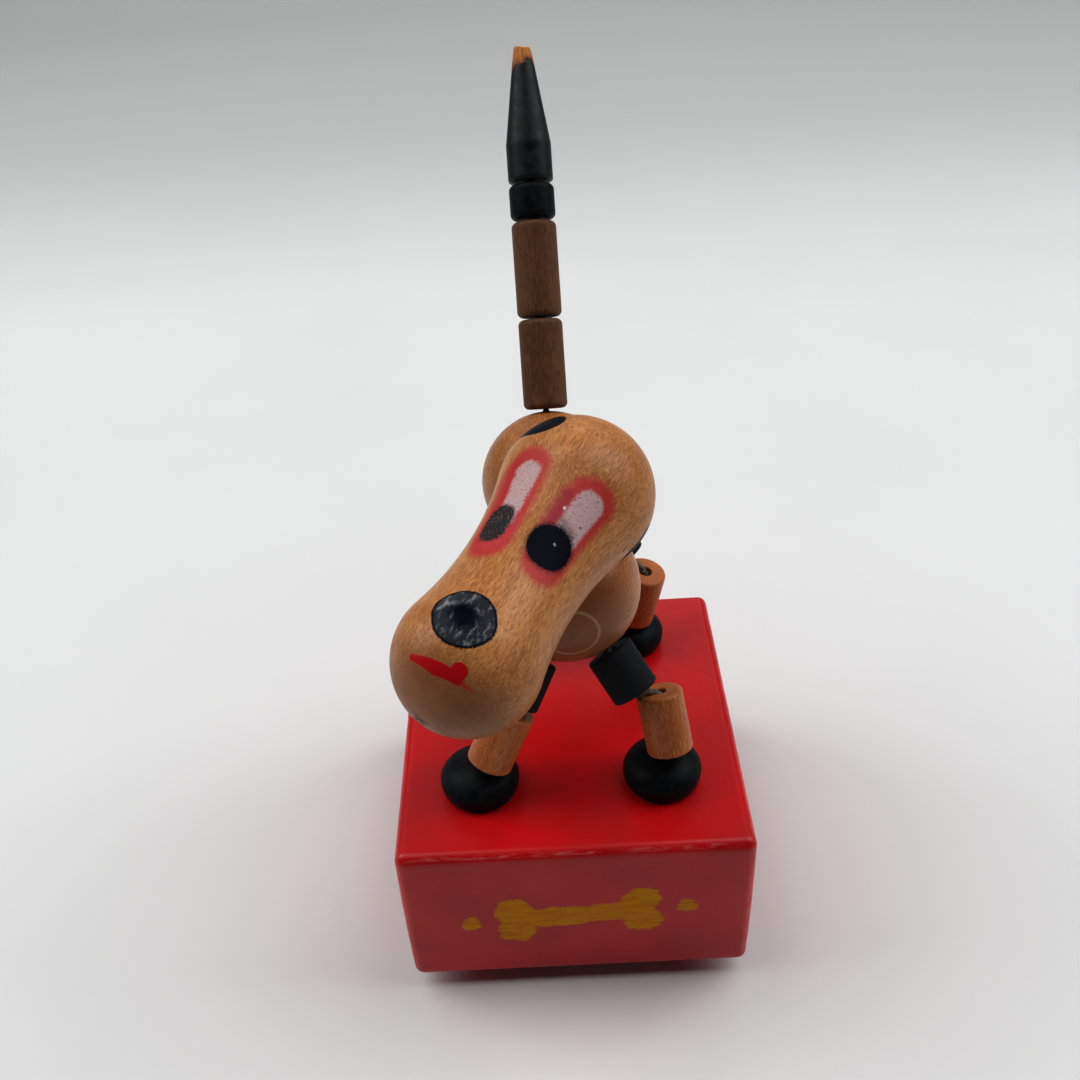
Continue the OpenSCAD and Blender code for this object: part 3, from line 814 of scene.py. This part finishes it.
def painted_head():
    """Varnished wood with the painted face, its scraped nose and the scuff at the muzzle's end."""
    kit = Finish("painted head")
    tint, height = timber(kit, WOOD_LIGHT, WOOD_DARK, WOOD_FLECK, pole=MUZZLE_R / MM, end=MUZZLE_END)
    lathe = kit.field("turned")
    spot = kit.node("ShaderNodeUVMap", {}, uv_map="face").outputs["UV"]
    fine = kit.math("SUBTRACT", kit.noise(lathe, 5.5, 2.0, 0.7), 0.5)
    ragged = kit.math("SUBTRACT", kit.noise(lathe, 1.4, 2.0, 0.5), 0.5)
    grit = kit.slope(kit.noise(lathe, 5.0, 2.0, 0.6, 4.0), 0.57, 0.66)
    rough, shine = varnish_roughness(kit), VARNISH_SHINE
    for stroke in FACE_PAINT:
        edge = stroke_distance(kit, spot, stroke)
        edge = kit.math("ADD", edge, kit.math("MULTIPLY", fine, FINE_SPECKLE * stroke.speckle))
        edge = kit.math("ADD", edge, kit.math("MULTIPLY", ragged, stroke.speckle))
        share = kit.slope(edge, stroke.soft, -stroke.soft, 0.0, stroke.cover)
        paint = stroke.colour
        if paint in GRITTY:
            speck, strength = GRITTY[paint]
            paint = kit.coat(paint, speck, grit, strength)
        tint = kit.mix(share, tint, paint)
        rough = kit.blend(share, rough, stroke.rough)
        if stroke.colour in MATT:
            shine = kit.blend(share, shine, MATT_SHINE)
        height = kit.math("ADD", height, kit.math("MULTIPLY", share, PAINT_RAISED))
    tint = scraped_nose(kit, tint, lathe, spot, ragged)
    scuff = muzzle_scuff(kit, lathe)
    tint = kit.coat(tint, SPECK_BROWN, scuff, 0.85)
    shine = kit.blend(scuff, shine, MATT_SHINE)
    return kit.finish(tint, rough, height, 0.015 * MM, Specular_IOR_Level=shine)


# The block's brushed ornament: a plain bone with two dots, in millimetres from the middle of the front face.
BONE_TILT = math.radians(4)
BONE_HALF = 7.8
BONE_SHAFT = 1.9
BONE_LOBE = 2.5
BONE_LOBE_PAST = 0.6
BONE_SPREAD = 2.1
BONE_MELT = 0.8
BONE_WANDER = 1.6
DOT_AT = 14.2
DOT_HALF = 1.3

ENAMEL = (0.6, 0.003, 0.008)
ENAMEL_DEEP = (0.48, 0.002, 0.005)
ENAMEL_WORN = (0.66, 0.06, 0.06)
# Pale pink of the painted highlight along the block's front top edge.
PAINTED_HIGHLIGHT_PINK = (0.66, 0.36, 0.34)
ENAMEL_SHINE = 0.45
OCHRE = (0.7, 0.33, 0.002)
OCHRE_THIN = (0.58, 0.2, 0.003)
OCHRE_SHINE = 0.12


def bone_distance(kit, spot):
    """Distance to the bone's edge: the least of its shaft, its four end lobes and the two dots."""
    tilt = (math.cos(BONE_TILT), math.sin(BONE_TILT))
    cross = (-tilt[1], tilt[0])
    run = kit.vector("DOT_PRODUCT", spot, (tilt[0], 0.0, tilt[1]))
    rise = kit.vector("DOT_PRODUCT", spot, (cross[0], 0.0, cross[1]))
    run, rise = kit.math("ABSOLUTE", run), kit.math("ABSOLUTE", rise)

    def hypotenuse(a, b):
        return kit.math("SQRT", kit.math("ADD", kit.math("POWER", a, 2.0), kit.math("POWER", b, 2.0)))

    def disc(at_run, at_rise, radius):
        apart = hypotenuse(kit.math("SUBTRACT", run, at_run), kit.math("SUBTRACT", rise, at_rise))
        return kit.math("SUBTRACT", apart, radius)

    past = kit.math("MAXIMUM", kit.math("SUBTRACT", run, BONE_HALF), 0.0)
    shaft = kit.math("SUBTRACT", hypotenuse(past, rise), BONE_SHAFT)
    lobes = disc(BONE_HALF + BONE_LOBE_PAST, BONE_SPREAD, BONE_LOBE)
    bone = kit.node("ShaderNodeMath", {0: shaft, 1: lobes, 2: BONE_MELT}, operation="SMOOTH_MIN").outputs[0]
    return kit.math("MINIMUM", bone, disc(DOT_AT, 0.0, DOT_HALF))


def red_enamel():
    """Brushed red enamel with thin worn edges, a painted highlight broken along the front top edge and an ochre
    ornament on the front.
    """
    kit = Finish("red enamel")
    place = kit.scaled(kit.place(), (1000.0, 1000.0, 1000.0))
    cloud = kit.noise(place, 0.08, 3.0)
    height = kit.noise(place, 0.8, 2.0, 0.5)
    tint = kit.mix(kit.slope(cloud, 0.35, 0.65), ENAMEL, ENAMEL_DEEP)
    edge = kit.field("edge", vector=False)
    patch = kit.noise(place, 0.7, 5.0, 0.65)
    worn = kit.math("MULTIPLY", kit.slope(edge, 0.7, 0.1), kit.slope(patch, 0.5, 0.68))
    tint = kit.coat(tint, ENAMEL_WORN, worn, 0.7)
    rough = kit.slope(cloud, 0.3, 0.7, 0.28, 0.36)
    middle = tuple(float(x) for x in (BLOCK_LOW + BLOCK_HIGH) / 2 / MM)
    half = tuple(float(x) for x in (BLOCK_HIGH - BLOCK_LOW) / 2 / MM)
    spot = kit.vector("SUBTRACT", place, middle)
    brow = kit.math("SUBTRACT", kit.part(spot, "Z"), kit.part(spot, "Y"))
    # A painted highlight: a broken pale band along the front top edge, where light catches the rounded edge.
    brow_at = half[1] + half[2]
    highlight_break = kit.noise(kit.scaled(place, (0.5, 2.4, 2.4)), detail=5.0, roughness=0.65, seed=1.0)
    painted_highlight = kit.math("MULTIPLY", kit.slope(brow, brow_at - 1.05, brow_at - 0.8), kit.slope(highlight_break, 0.45, 0.6))
    tint = kit.coat(tint, PAINTED_HIGHLIGHT_PINK, painted_highlight, 0.75)
    front = kit.slope(kit.part(spot, "Y"), 0.9 - half[1], 0.6 - half[1])
    bristle = kit.noise(kit.scaled(spot, (0.25, 1.0, 2.6)), detail=4.0, roughness=0.7)
    wander = kit.math("MULTIPLY", kit.math("SUBTRACT", kit.noise(spot, 0.5, 3.0), 0.5), BONE_WANDER)
    edge_gap = kit.math("ADD", bone_distance(kit, spot), wander)
    frayed = kit.math("MULTIPLY", kit.math("SUBTRACT", bristle, 0.5), BONE_WANDER)
    edge_gap = kit.math("ADD", edge_gap, frayed)
    gilt = kit.math("MULTIPLY", kit.slope(edge_gap, 0.2, -0.2), front)
    ochre = kit.mix(kit.slope(bristle, 0.4, 0.66), OCHRE, OCHRE_THIN)
    tint = kit.coat(tint, ochre, gilt, 0.93)
    height = kit.math("ADD", height, kit.math("MULTIPLY", gilt, kit.math("ADD", bristle, 0.6)))
    rough = kit.blend(gilt, rough, 0.5)
    shine = kit.blend(gilt, ENAMEL_SHINE, OCHRE_SHINE)
    return kit.finish(tint, rough, height, 0.03 * MM, Specular_IOR_Level=shine)


PAPER = (0.755, 0.76, 0.76)
PAPER_SHADE = (0.725, 0.73, 0.73)
# Painted shade on the wall behind, and the depths in Y between which it comes in.
PAPER_PAINTED_SHADE = (0.56, 0.565, 0.565)
PAINTED_SHADE_STEP = (0.17, 0.37)


def pale_paper():
    """The pale sweep that the toy stands on: near white in front, and a soft step to a painted shade of grey
    behind.
    """
    kit = Finish("pale sweep")
    place = kit.place()
    mottle = kit.noise(place, 12.0, 3.0)
    tint = kit.mix(kit.slope(mottle, 0.3, 0.7), PAPER, PAPER_SHADE)
    # Painted shade: the sweep turns grey toward the wall.
    tint = kit.mix(kit.slope(kit.part(place, "Y"), *PAINTED_SHADE_STEP), tint, PAPER_PAINTED_SHADE)
    return kit.finish(tint, 0.6)


# Pieces.

def dress(piece, material, body, node):
    """Gives a piece its finish and makes it stand for a CAD node on that node's body."""
    piece.data.materials.append(material)
    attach(piece, body)
    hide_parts(node)


def body_of(node):
    """The body that holds a node."""
    return next(body for body, nodes in frame["record"]["behaviour"]["bodies"].items() if node in nodes)


def make_bead(node, rim, material, seed):
    """A dowel bead: a wall between a rounded rim and a softened cord hole, carried round its cord."""
    low, way, length, radius = bead_line(node)
    corners = [(HOLE_R, 0), (radius, 0), (radius, length), (HOLE_R, length)]
    profile = evenly(rounded(corners, [HOLE_RIM, rim, rim, HOLE_RIM]), BEAD_STEP, closed=True)
    piece = turned(node + "_bead", profile, low, way, BEAD_COLUMNS, seed, BEAD_OVAL, loop=True)
    dress(piece, material, body_of(node), node)


def make_foot(node, material, seed):
    """A squat dome: an ellipse above its widest ring, a tucked ellipse below, drilled for the cord."""
    low, high = box_of(node)
    radius, height = (high[0] - low[0]) / 2, high[2] - low[2]
    belly = FOOT_BELLY * height
    under, over = np.linspace(-math.pi / 2, 0, 24), np.linspace(0, math.pi / 2, 48)
    below = np.stack([radius - FOOT_TUCK + FOOT_TUCK * np.cos(under), belly + belly * np.sin(under)], -1)
    above = np.stack([radius * np.cos(over), belly + (height - belly) * np.sin(over)], -1)
    above = above[above[:, 0] > HOLE_R]
    profile = np.concatenate([[(HOLE_R, 0)], below, above[1:], [(HOLE_R, above[-1, 1])]])
    profile = evenly(profile, BEAD_STEP, closed=True)
    base = (*((low + high) / 2)[:2], low[2])
    piece = turned(node + "_dome", profile, base, UP, FOOT_COLUMNS, seed, FOOT_OVAL, loop=True)
    dress(piece, material, body_of(node), node)


def make_torso():
    """The torso: a dumbbell from chest to rump."""
    profile = evenly(dumbbell(CHEST_R, RUMP_R, np.linalg.norm(RUMP - CHEST), TORSO_HOLLOW_R), TORSO_STEP)
    torso = turned("torso_wood", profile, CHEST, unit(RUMP - CHEST), TORSO_COLUMNS, TORSO_SEED, TORSO_OVAL)
    dress(torso, varnished_torso(), "torso", "torso")


def make_head():
    """The head: a dumbbell from skull to muzzle, with the zero of its face map on the face's midline."""
    head = turned("head_wood", HEAD_PROFILE, SKULL, HEAD_WAY, HEAD_COLUMNS, HEAD_SEED, HEAD_OVAL,
                  toward=FACE_UP, face=True)
    dress(head, painted_head(), "head", "head")


def make_legs_and_tail():
    """Feet, leg beads, tail beads and the tail's tip."""
    lacquer, charcoal, wood, stain = black_lacquer(), charcoal_stain(), varnished_dowel(), stained()
    for count, leg in enumerate(LEGS):
        make_foot(leg + "_foot", lacquer, FOOT_SEED + count)
        make_bead(leg + "_lower_leg", LOWER_RIM, wood, LOWER_SEED + count)
        make_bead(leg + "_upper_leg", UPPER_RIM, charcoal, UPPER_SEED + count)
    for count, bead in enumerate(TAIL_BEADS):
        coat, slot = (lacquer, "black_lacquer") if bead == "tail_collar" else (stain, "brown_stain")
        make_bead(bead, TAIL_RIM, coat, TAIL_SEED + count)
    make_tail_tip()


def make_tail_tip():
    """The tail's tip: a straight foot, a long taper and a broken blunt end, closed to a pole at both ends.
    Within BREAK_L of the end, the break lowers each point by a slanted, ragged wave round the axis."""
    low, way, length, radius = bead_line("tail_tip")
    shoulder, chamfer = (radius, TIP_STRAIGHT * length), (TIP_END_R, length - TIP_CHAMFER)
    corners = [(0, 0), (radius, 0), shoulder, chamfer, (0, length)]
    bends = rounded(corners, [TINY, LOWER_RIM, TIP_SHOULDER, TIP_END_ROUND, TINY])
    off_axis = bends[bends[:, 0] > 0.05 * MM]
    profile = evenly(np.concatenate([[(0, 0)], off_axis, [(0, length)]]), BEAD_STEP)
    profile[[0, -1], 0] = 0

    def broken(r, h, turn):
        near = np.clip((h - (length - BREAK_L)) / BREAK_L, 0, 1) ** 2
        bite = np.sin(turn + TIP_SLANT) + 0.2 * np.sin(3 * turn + 2.0) + 0.15 * np.sin(5 * turn)
        rim = np.clip(r / TIP_END_R, 0, 1)
        warped = r * (1 + BREAK_WARP * near * np.sin(2 * turn + 1.0))
        return warped, h - near * BREAK_DEPTH * (1 + bite * rim)

    piece = turned("tail_tip_cone", profile, low, way, BEAD_COLUMNS, TIP_SEED, BEAD_OVAL, worn=broken)
    dress(piece, chipped_lacquer(length), "tail_tip", "tail_tip")


def block_outline():
    """The block's rounded rectangle from above, as points round an inner rectangle, whose corners are the
    centres of the corner rounds, and as outward normals. A point plus BLOCK_ROUND times its normal lies on
    the outline."""
    inner = (BLOCK_HIGH - BLOCK_LOW)[:2] / 2 - BLOCK_ROUND
    signs = np.array([(1, 1), (-1, 1), (-1, -1), (1, -1)])
    share = np.linspace(0, 1, EDGE_STEPS + 1)[1:-1, None]
    centres, normals = [], []
    for k in range(4):
        here, after = inner * signs[k], inner * signs[(k + 1) % 4]
        turn = math.pi / 2 * (k + np.linspace(0, 1, CORNER_STEPS + 1))
        centres.append(np.repeat(here[None], CORNER_STEPS + 1, 0))
        normals.append(np.stack([np.cos(turn), np.sin(turn)], -1))
        centres.append(here * (1 - share) + after * share)
        normals.append(np.repeat(normals[-1][-1:], EDGE_STEPS - 1, 0))
    return np.concatenate(centres), np.concatenate(normals)


def block_rows():
    """The block's skin as flat rings, each with its height: from the middle of the bore's ceiling down the
    bore, out under the block, round its edges and up to the middle of the deck."""
    centres, normals = block_outline()
    out = normals * BLOCK_ROUND
    bearing = np.arctan2(*(centres + out).T[::-1])
    round_bore = np.stack([np.cos(bearing), np.sin(bearing)], -1)
    low, high = BLOCK_LOW[2], BLOCK_HIGH[2]
    rows = [(round_bore * r, high - DECK_T) for r in np.linspace(0, BORE_R, 5)]
    rows += [(round_bore * BORE_R, z) for z in np.linspace(high - DECK_T, low + BORE_BEVEL, 12)[1:]]
    mouth = round_bore * (BORE_R + BORE_BEVEL)
    rows += [(mouth * (1 - t) + centres * t, low) for t in np.linspace(0, 1, 8)]
    swing = np.linspace(0, math.pi / 2, 9)[1:]
    rows += [(centres + out * math.sin(a), low + BLOCK_ROUND * (1 - math.cos(a))) for a in swing]
    rows += [(centres + out, z) for z in np.linspace(low + BLOCK_ROUND, high - BLOCK_ROUND, 40)[1:]]
    rows += [(centres + out * math.cos(a), high - BLOCK_ROUND * (1 - math.sin(a))) for a in swing]
    rows += [(centres * t, high) for t in np.linspace(1, 0, 48)[1:]]
    return rows


def make_block():
    """The block as one closed skin over its rings. Its sides swell by a parabola over the height, and its
    edges are dented by a sum of sines of the place. The attribute edge is the distance from the nearest
    edge, in millimetres."""
    middle = (BLOCK_LOW + BLOCK_HIGH) / 2
    half = (BLOCK_HIGH - BLOCK_LOW) / 2
    grid = np.stack([np.concatenate([ring, np.full((len(ring), 1), z)], -1) for ring, z in block_rows()])
    grid[..., :2] += middle[:2]
    away = (grid - middle) / half
    depth = np.sort((1 - np.abs(away)) * half, -1)
    edge = depth[..., 1] / MM
    swell = np.clip(1 - away[..., 2:] ** 2, 0, 1) * BLOCK_BULGE
    outside = (np.abs(away).max(-1, keepdims=True) > 0.9) & (depth[..., :1] < BLOCK_ROUND)
    x, y, z = np.moveaxis(grid / MM, -1, 0)
    waves = np.sin(x * 0.61 + 1.0) * np.sin(y * 0.47 + 2.0)
    waves = waves + 0.6 * np.sin(x * 1.37 + z * 0.9) + 0.4 * np.sin(y * 1.71 - z * 0.8 + 0.5)
    dents = np.abs(BLOCK_DENT * waves) * np.clip(1 - edge / DENT_REACH, 0, 1) ** 2
    fade_in = np.clip((np.abs(away[..., :2]) - SIDE_FROM) / (1 - SIDE_FROM), 0, 1)
    outward = np.sign(away[..., :2]) * fade_in
    grid[..., :2] -= np.where(outside, outward * (BLOCK_BULGE - swell + dents[..., None]), 0)
    block = skin("block_enamelled", grid, edge=edge)
    dress(block, red_enamel(), "base", "base_block")


def make_spring():
    """The return spring: a round wire carried up a helix, closed to a point at its ends."""
    low, high = box_of("return_spring")
    share = np.linspace(0, 1, COILS * COIL_STEPS + 1)
    climb = low[2] + WIRE_R + share * (high[2] - low[2] - 2 * WIRE_R)
    turn = TAU * COILS * share
    out = np.stack([np.cos(turn), np.sin(turn), np.zeros_like(turn)], -1)
    round_wire = TAU * np.arange(WIRE_SIDES) / WIRE_SIDES
    r = np.full((len(share), 1), WIRE_R)
    r[[0, -1]] = 0
    helix = COIL_R * out + climb[:, None] * UP
    outward = (r * np.cos(round_wire))[..., None] * out[:, None]
    upward = (r * np.sin(round_wire))[..., None] * UP
    spring = skin("return_spring_coil", helix[:, None] + outward + upward)
    dress(spring, spring_steel(), "base", "return_spring")
    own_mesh(spring)


def make_bore_cords(material):
    """The four cords in the bore: each runs from its hole in the button up toward its foot."""
    low, high = box_of("bore_cords")
    cloud = points_of("bore_cords")
    for leg in LEGS:
        mine = cloud[(np.sign(cloud[:, :2]) == np.sign(foot_middle(leg)[:2])).all(1)]
        bottom = mine[mine[:, 2] < low[2] + CORD_R].mean(0)
        top = mine[mine[:, 2] > high[2] - CORD_R].mean(0)
        bottom[2], top[2] = low[2], high[2]
        cord = thread(leg + "_bore_thread", bottom, top, top - bottom, top - bottom, BORE_CORD_RINGS)
        dress(cord, material, "base", "bore_cords")
        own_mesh(cord)


def bridge(name, start, stop, start_way, stop_way, material):
    """A length of thread across one joint: it leaves one hole and reaches the next, bent to the angle between
    them.
    """
    start, stop = start - CORD_OVERLAP * unit(start_way), stop + CORD_OVERLAP * unit(stop_way)
    cord = thread(name, start, stop, start_way, stop_way)
    cord.data.materials.append(material)
    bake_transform(cord)


def make_leg_cords(leg, material):
    """A leg's thread at the ankle and the knee, and the end that leaves the upper bead toward the torso."""
    lower, upper = leg + "_lower", leg + "_upper"
    crown = np.array([*foot_middle(leg)[:2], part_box("foot_cords")[1][2]])
    ankle, knee, lower_way = cord_line(lower + "_cord")
    thigh, hip, upper_way = cord_line(upper + "_cord")
    bridge(leg + "_ankle_thread", crown, ankle, UP, lower_way, material)
    bridge(leg + "_knee_thread", knee, thigh, lower_way, upper_way, material)
    start, stop = hip - CORD_OVERLAP * upper_way, hip + HIDDEN_CORD * upper_way
    hip_thread = thread(leg + "_hip_thread", start, stop, upper_way, upper_way)
    hip_thread.data.materials.append(material)
    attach(hip_thread, upper)


def make_cords(material):
    """Thread that shows between beads, and the finish of the cords that run inside them."""
    for node, piece in frame["nodes"].items():
        if "cord" in node:
            piece.data.materials.clear()
            piece.data.materials.append(material)
    for leg in LEGS:
        make_leg_cords(leg, material)
    nape = cord_line("neck_cord")[0]
    bridge("neck_thread", nape - HIDDEN_CORD * NECK_WAY, nape, NECK_WAY, NECK_WAY, material)
    below, _, tail_way = cord_line("tail_lower_cord")
    last, last_body = below - HIDDEN_CORD * tail_way, "torso"
    for bead in (*TAIL_BEADS, "tail_tip"):
        low, high, way = cord_line(bead + "_cord")
        bridge(bead + "_thread", last, low, way, way, material)
        last, last_body = high, bead


def make_button():
    """The button keeps its CAD solid and gets bare wood."""
    button = frame["nodes"]["push_button"]
    button.data.materials.clear()
    button.data.materials.append(bare_wood())


# Stage.

def make_sweep():
    """Floor and backdrop in one sheet: flat, a quarter turn up, then a wall, carried straight along X."""
    curve = np.linspace(0, math.pi / 2, 32)
    bend = np.stack([SWEEP_TURN_AT + SWEEP_TURN_R * np.sin(curve), SWEEP_TURN_R * (1 - np.cos(curve))], -1)
    path = np.concatenate([[(SWEEP_FRONT, 0.0)], bend, [(SWEEP_TURN_AT + SWEEP_TURN_R, SWEEP_WALL)]])
    across = np.linspace(-SWEEP_HALF, SWEEP_HALF, 9)
    points = np.stack(np.broadcast_arrays(across[None, :], path[:, :1], path[:, 1:]), -1)
    rows, columns = points.shape[:2]
    index = np.arange(rows * columns).reshape(rows, columns)
    faces = np.stack([index[:-1, :-1], index[:-1, 1:], index[1:, 1:], index[1:, :-1]], -1).reshape(-1, 4)
    sweep = smooth_piece("pale_sweep", points.reshape(-1, 3), faces.tolist())
    sweep.data.materials.append(pale_paper())


def make_light(name, at, toward, size, power):
    """A rectangular soft box at a place, facing a point."""
    lamp = bpy.data.lights.new(name, "AREA")
    lamp.shape = "RECTANGLE"
    lamp.size, lamp.size_y = size
    lamp.energy = power
    box = bpy.data.objects.new(name, lamp)
    box.location = at
    box.rotation_mode = "QUATERNION"
    box.rotation_quaternion = (Vector(toward) - Vector(at)).to_track_quat("-Z", "Y")
    bpy.context.scene.collection.objects.link(box)


def make_studio():
    """Two long soft boxes high on the left and right, a flat one behind for the deck's sheen, a dim room."""
    for name, side in (("left_box", -1), ("right_box", 1)):
        at = (side * SIDE_BOX_X, SIDE_BOX_Y, SIDE_BOX_Z)
        make_light(name, at, SIDE_BOX_AIM, SIDE_BOX_SIZE, SIDE_BOX_POWER)
    make_light("back_box", BACK_BOX_AT, BACK_BOX_AIM, BACK_BOX_SIZE, BACK_BOX_POWER)
    world = bpy.data.worlds.new("dim_room")
    world.use_nodes = True
    room = world.node_tree.nodes["Background"]
    room.inputs["Color"].default_value = ROOM_COLOUR
    room.inputs["Strength"].default_value = ROOM_STRENGTH
    bpy.context.scene.world = world
    view = bpy.context.scene.view_settings
    view.view_transform = "Standard"
    view.gamma = PICTURE_GAMMA


def make_camera():
    """The camera at the photograph's place, from its pitch, yaw and roll."""
    cp, sp = math.cos(CAMERA_PITCH), math.sin(CAMERA_PITCH)
    cy, sy = math.cos(CAMERA_YAW), math.sin(CAMERA_YAW)
    cr, sr = math.cos(CAMERA_ROLL), math.sin(CAMERA_ROLL)
    ahead, right = Vector((sy * cp, cy * cp, -sp)), Vector((cy, -sy, 0.0))
    up = right.cross(ahead)
    right, up = cr * right + sr * up, cr * up - sr * right
    data = bpy.data.cameras.new("camera")
    data.sensor_width = SENSOR_MM
    data.lens = SENSOR_MM * FOCAL_PX / PHOTO_PX
    data.clip_start, data.clip_end = CLIP_NEAR, CLIP_FAR
    camera = bpy.data.objects.new("camera", data)
    camera.matrix_world = Matrix.Translation(CAMERA_AT) @ Matrix((right, up, -ahead)).transposed().to_4x4()
    bpy.context.scene.collection.objects.link(camera)
    bpy.context.scene.camera = camera


make_camera()
make_studio()
make_sweep()
thread_finish = linen()
make_block()
make_button()
make_spring()
make_bore_cords(thread_finish)
make_torso()
make_head()
make_legs_and_tail()
make_cords(thread_finish)
